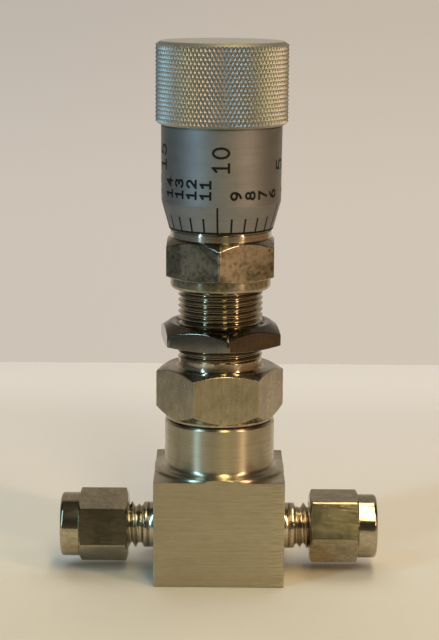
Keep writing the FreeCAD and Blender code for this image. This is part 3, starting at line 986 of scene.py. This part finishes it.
form = bmesh.new()
# A black ring round the foot: partly a filled line at the lip, partly painted shadow of the gap under
# it.
foot_height = thimble_low.z + foot_ink_and_shadow / 2
for i in range(dial_steps):
    start = math.tau * i / dial_steps * thimble_lip_radius
    end = start + math.tau / dial_steps * thimble_lip_radius
    ink_stroke(form, [(start, foot_height), (end, foot_height)], foot_ink_and_shadow, dial_radius)
for number in range(divisions):
    turn = index_turn + math.tau * (reading - number) / divisions
    turn = (turn + math.pi) % math.tau - math.pi
    long = number % number_every == 0
    top = long_line_top if long else short_line_top
    line = [(turn * dial_radius(height), height) for height in (line_foot, top)]
    ink_stroke(form, line, line_width, dial_radius)
    middle = (turn + number_offset) * thimble_waist_radius
    size = large_number if long else small_number
    ink_number(form, number, middle, *size, dial_radius)
thimble_marks = made(form, "thimble_marks", dial_ink)
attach(thimble_marks, "handle")


# Knob
# The aluminium grip on top of the thimble. Two crossed sets of grooves are rolled into its side and
# leave rows of small diamonds, both rims are bevelled, and two set screws clamp it on the stem.
knob_low, knob_high = (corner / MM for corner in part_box("knob"))
knob_radius = 11.15
knob_rim_radius = 10.35
knob_foot_radius = 10.55
knob_shadow_radius = 9.9
knob_shadow_top = knob_low.z + 0.26
knurl_low = knob_shadow_top + 0.5
knurl_high = knob_high.z - 0.6
knurl_round = 96
knurl_pitch = math.tau / knurl_round
knurl_rows = 18
knurl_top_share = 0.06
knurl_depth = 0.27
rim_slope = 0.5
knob_bore_radius = 2.95
knob_bore_top = knob_low.z + 11.2
knob_edge = 0.07
rim_reach = (10.3, 10.4)
set_screw_height = knob_low.z + 7.0
set_screw_way = 1.55
set_screw_turns = (math.radians(140), math.radians(220))


def knob_ring(form, radius, height):
    """A plain ring with three points to a diamond, so that it joins the knurl's rims."""
    ring = []
    for i in range(knurl_round):
        for share in (0, 0.5 - knurl_top_share / 2, 0.5 + knurl_top_share / 2):
            ring.append(form.verts.new(around(radius, (i + share) * knurl_pitch, height)))
    return ring


def knurled_side(form):
    """Crossed grooves: each diamond has a small flat top and four sloping sides."""
    step = (knurl_high - knurl_low) / knurl_rows
    half_top = knurl_top_share / 2 * knurl_pitch
    valley_radius = knob_radius - knurl_depth
    crossings = {}
    for row in range(knurl_rows + 1):
        height = knurl_low + row * step
        if row == 0:
            height -= knurl_depth * rim_slope
        if row == knurl_rows:
            height += knurl_depth * rim_slope
        for i in range(knurl_round):
            turn = (i + (row % 2) / 2) * knurl_pitch
            crossings[row, i] = form.verts.new(around(valley_radius, turn, height))
    rims = {0: [], knurl_rows: []}
    for row in range(knurl_rows + 1):
        shift = row % 2
        for i in range(knurl_round):
            middle_turn = (i + 0.5 + shift / 2) * knurl_pitch
            height = knurl_low + row * step
            left = crossings[row, i]
            right = crossings[row, (i + 1) % knurl_round]
            above = crossings.get((row + 1, (i + shift) % knurl_round))
            below = crossings.get((row - 1, (i + shift) % knurl_round))
            top_left = form.verts.new(around(knob_radius, middle_turn - half_top, height))
            top_right = form.verts.new(around(knob_radius, middle_turn + half_top, height))
            if row in rims:
                rims[row] += [left, top_left, top_right]
            for corner, way in ((above, 1), (below, -1)):
                if corner is None:
                    continue
                tip_height = height + way * knurl_top_share * step
                tip = form.verts.new(around(knob_radius, middle_turn, tip_height))
                form.faces.new((left, corner, tip, top_left))
                form.faces.new((corner, right, top_right, tip))
                form.faces.new((top_left, tip, top_right))
    return rims.values()


def knob_marks(shade):
    """Fine turning over the knob, brightest on its top face."""
    lines = shade.lathe_lines(7.0, 3.0) * 0.5 + shade.grain((2.5, 2.5, 2.5), 3.0) * 0.5
    return lines * 0.5 + shade.facing().ramp(0.9, 0.95) * 0.65


def dark_rim(shade):
    """Painted shade: the up-facing bevel at the knob's top rim is darkened like a dark reflection
    from above.
    """
    return shade.reach().ramp(*rim_reach) * shade.facing().ramp(0.4, 0.55) * 0.2


# The top bevel carries painted shade.
knob_metal = metal(
    "knurled_aluminium", knob_marks, (0.41, 0.405, 0.37), (0.70, 0.69, 0.64), (0.36, 0.56), 0.000001,
    wear=dark_rim,
)
form = bmesh.new()
low_rim, high_rim = knurled_side(form)
rings = [low_rim]
for radius, height in (
    (knob_foot_radius, knob_shadow_top),
    (knob_shadow_radius, knob_shadow_top),
    (knob_shadow_radius, knob_low.z),
    (knob_bore_radius, knob_low.z),
    (knob_bore_radius, knob_bore_top),
    (0, knob_bore_top),
):
    rings.append(knob_ring(form, radius, height))
for upper, lower in zip(rings, rings[1:]):
    join(form, lower, upper)
rings = [high_rim]
for radius, height in (
    (knob_rim_radius + knob_edge, knob_high.z - knob_edge),
    (knob_rim_radius - knob_edge, knob_high.z),
    (knob_bore_radius, knob_high.z),
    (0, knob_high.z),
):
    rings.append(knob_ring(form, radius, height))
for lower, upper in zip(rings, rings[1:]):
    join(form, lower, upper)
knob = made(form, "knurled_knob", knob_metal, 28)
for turn in set_screw_turns:
    way = around(1, turn, 0)
    centre = Vector((0, 0, set_screw_height))
    drill(knob, set_screw_way, centre + way, centre + way * (knob_radius + 1), 28)
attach(knob, "handle")
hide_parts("knob")


# Tube nuts
# The two six-sided steel nuts. Each screws on a port and drives its ferrules on to the tube, and
# the plain round collar at its outer end is turned and lightly polished.
nut_low, nut_high = (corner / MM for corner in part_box("right_tube_nut"))
fitting_flats = 11.11
fitting_turns = {-1: math.radians(10), 1: math.radians(-24.6)}
fitting_hex_end = nut_low.x + 8.5
fitting_inner_radius = 5.35
fitting_inner_slope = 0.423
fitting_outer_radius = 5.5
fitting_outer_slope = 0.383
fitting_collar = 5.52
fitting_collar_round = 0.6
fitting_step = 0.03
fitting_bore = 4.02
fitting_bevel = 0.3
fitting_bore_end = nut_low.x + 5.05
fitting_cone = 3.0
tube_way = 1.65


def fitting_outline(turn):
    """A nut's hexagon and collar from the block outwards, then its bore."""
    def outline(angle):
        hex_points = hexagon(
            angle, fitting_flats, turn, nut_low.x, fitting_hex_end,
            fitting_inner_radius, fitting_inner_slope, fitting_outer_radius, fitting_outer_slope,
            0.08,
        )
        collar_centre = (fitting_collar - fitting_collar_round, nut_high.x - fitting_collar_round)
        return [
            (fitting_bore + fitting_bevel, nut_low.x, 0.05),
            *hex_points,
            (fitting_collar - fitting_step, fitting_hex_end),
            (fitting_collar, fitting_hex_end + fitting_step),
            *arc(collar_centre, fitting_collar_round, 0, 90, 7),
            (tube_way + fitting_bevel, nut_high.x, 0.05),
            (tube_way, nut_high.x - fitting_bevel),
            (tube_way, fitting_bore_end + fitting_cone - tube_way),
            (fitting_cone, fitting_bore_end),
            (fitting_bore, fitting_bore_end),
            (fitting_bore, nut_low.x + fitting_bevel),
        ]
    return outline


def fitting_marks(shade):
    """Drawing lines along a tube nut, with mottling and faint turning."""
    drawn = shade.grain((0.3, 3.5, 3.5), 3.0)
    mottle = shade.grain((1.3, 1.3, 1.3), 5.0)
    return drawn * 0.4 + mottle * 0.45 + shade.lathe_lines(6.0, 2.0, (0, 1, 1)) * 0.15


# Only real stains darken the tube nuts; no painted shade reaches them.
fitting_metal = metal(
    "fitting_nut_steel", fitting_marks, (0.34, 0.295, 0.21), (0.60, 0.53, 0.385), (0.10, 0.22),
    0.00002, wear=dull_ends(0, 0.5),
)
for side, name in ((-1, "left"), (1, "right")):
    outline = fitting_outline(fitting_turns[side])
    angles = bar_angles(fitting_flats, 6, fitting_turns[side], hex_corner_round, 96)
    nut = turned_piece(f"{name}_fitting_nut", fitting_metal, outline, angles, place=laid(side))
    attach(nut, f"{name}_nut")
    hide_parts(f"{name}_tube_nut")


# Inner pieces
# The turned steel pieces inside: the seat ring and its gasket, the gland, the stem with its needle
# and retainer, and the ferrules. They keep the shapes of the frame and get a finely turned finish.
inner_metal = metal(
    "finely_turned_steel", turned_marks, (0.50, 0.48, 0.45), (0.72, 0.70, 0.66), (0.16, 0.3), 0.000002
)
ferrule_metal = metal(
    "turned_ferrule_steel", port_marks, (0.50, 0.48, 0.45), (0.72, 0.70, 0.66), (0.14, 0.26), 0.000002
)


def dress(material, *names):
    """Gives a material to pieces that keep the frame's own shapes."""
    for name in names:
        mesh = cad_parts[name].data
        mesh.materials.clear()
        mesh.materials.append(material)


dress(inner_metal, "seat_ring", "bonnet_gasket", "gland", "stem", "needle_retainer", "needle")
for side in ("left", "right"):
    dress(ferrule_metal, f"{side}_front_ferrule", f"{side}_back_ferrule")


# Packing
# Two white polymer rings round the needle, one with a cone that enters the other. They are
# moulded smooth and a little waxy, and the gland presses them together.
def packing_plastic(name):
    """A white polymer with a faint cloudiness."""
    material, shade = blank(name)
    cloud = shade.grain((1.2, 1.2, 1.2), 3.0)
    return covered(material, shade, {
        "Base Color": cloud.between((0.78, 0.77, 0.73), (0.88, 0.88, 0.85)),
        "Roughness": cloud * 0.2 + 0.35,
        "Subsurface Weight": 0.1,
        "Subsurface Scale": 0.001,
        "Normal": shade.make("Bump", {}, {"Distance": 0.00001, "Height": cloud}),
    })


dress(packing_plastic("white_packing"), "lower_packing", "upper_packing")


# Small screws
# The two socket set screws that clamp the knob and the slotted screw that locks the barrel.
# They are hardened steel with a black oxide finish.
screw_metal = metal(
    "black_oxide_screw", knob_marks, (0.05, 0.05, 0.055), (0.13, 0.13, 0.14), (0.3, 0.45), 0.000003
)
dress(screw_metal, "knob_set_screws", "barrel_lock_screw")


# Floor
# A sheet of warm pale paper under the valve, with a little unevenness in tone and surface, and
# painted light that grades it paler towards the back.
# It is there for the picture only.
sheet_half_width = 0.14
sheet_front = -0.15
sheet_back = 0.167
paper_near = (0.555, 0.505, 0.415)
paper_far = (0.645, 0.59, 0.545)
paper_edge = (0.735, 0.68, 0.635)
edge_band = (100, 150)


def paper(name):
    """Paper with soft folds, a fine fibre and cloudy colour, and painted light that grades it from
    darker at the front to paler at the back.
    """
    material, shade = blank(name)
    cloud = shade.grain((0.012, 0.012, 0.012), 3.0) - 0.5
    back = shade.place().axis("Y")
    # Painted light: the colour grows paler towards the back, broken by cloudy variation.
    depth = (back * 0.007 + cloud * 0.6).ramp(-0.35, 1.0)
    tone = depth.between(paper_near, paper_far)
    # Painted light: towards the far edge the paper takes the backdrop's pale colour.
    far_edge = back.ramp(*edge_band)
    fibre = shade.grain((0.8, 0.8, 0.8), 4.0)
    folds = shade.grain((0.02, 0.05, 0.02), 2.0)
    return covered(material, shade, {
        "Base Color": far_edge.between(tone, paper_edge),
        "Roughness": fibre * 0.2 + 0.6,
        "Normal": shade.make("Bump", {}, {"Distance": 0.0006, "Height": folds + fibre * 0.02}),
    })


form = bmesh.new()
bmesh.ops.create_grid(form, x_segments=20, y_segments=20, size=1)
for vertex in form.verts:
    vertex.co.x *= sheet_half_width / MM
    vertex.co.y = ((sheet_front + sheet_back) + vertex.co.y * (sheet_back - sheet_front)) / 2 / MM
floor = made(form, "paper_floor", paper("pale_paper"))


# Light
# Three tall soft lamps stand in front, cool at the left, yellow near the middle and rosy at the
# right, and a long yellow one lies level overhead. A wide cool one above and behind lights the
# paper but isn't mirrored. The room is pale behind the valve, and dark and warm in front of it.
lamp_distance = 0.55
lamp_target = Vector((0, 0, 0.04))
# Each lamp has its azimuth, elevation, colour, power, width and height.
lamps = (
    ("cool_lamp", -48.5, 29, (0.43, 0.755, 1.0), 1.36, 0.034, 0.50),
    ("warm_lamp", 13.0, 49, (1.0, 0.84, 0.42), 0.95, 0.080, 0.30),
    ("rosy_lamp", 51.0, 30, (1.0, 0.70, 0.48), 1.3, 0.034, 0.46),
    ("top_lamp", 175.0, 68, (0.86, 0.93, 1.0), 1.9, 0.5, 0.4),
    ("high_lamp", 63.0, 80.6, (1.0, 0.82, 0.44), 0.75, 0.05, 0.40),
)
for name, azimuth, elevation, colour, power, width, height in lamps:
    lamp = bpy.data.objects.new(name, bpy.data.lights.new(name, "AREA"))
    bpy.context.scene.collection.objects.link(lamp)
    turn = math.radians(azimuth)
    rise = math.radians(elevation)
    way = around(math.cos(rise), turn, math.sin(rise))
    lamp.location = way * lamp_distance + lamp_target
    if name != "high_lamp":
        lamp.rotation_euler = way.to_track_quat("Z", "Y").to_euler()
    lamp.data.shape = "RECTANGLE"
    lamp.data.size = width
    lamp.data.size_y = height
    lamp.data.energy = power
    lamp.data.color = colour
    lamp.visible_camera = False
    lamp.visible_glossy = name != "top_lamp"

world = bpy.data.worlds.new("room")
bpy.context.scene.world = world
world.use_nodes = True
world.node_tree.nodes.clear()
sky = Wire(world.node_tree)
way = sky.make("TexCoord", {}, {}, "Generated")
side_way = way.axis("X")
back_way = way.axis("Y")
up_way = way.axis("Z")
from_left = side_way.ramp(-0.12, 0.12)
wall_low = from_left.between((0.61, 0.545, 0.475), (0.64, 0.56, 0.465))
wall_high = from_left.between((0.51, 0.455, 0.40), (0.55, 0.475, 0.39))
wall = up_way.ramp(-0.15, 0.0).between(wall_low, wall_high)
wall = up_way.ramp(0.1, 0.5).between(wall, (0.36, 0.32, 0.27))
room_side = side_way.ramp(-0.7, 0.9).between((0.12, 0.14, 0.15), (0.30, 0.19, 0.10))
room_low = (side_way * side_way).ramp(0.0, 0.5).between((0.09, 0.075, 0.045), room_side)
room_front = up_way.ramp(-0.05, 0.45).between(room_low, (0.035, 0.034, 0.032))
room = (back_way + up_way * 0.4).ramp(0.58, 0.78).between(room_front, wall)
seen = sky.make("LightPath", {}, {}, "Is Camera Ray")
background = sky.make("Background", {}, {"Color": seen.between(room, wall), "Strength": 1.0})
sky.make("OutputWorld", {}, {"Surface": background})
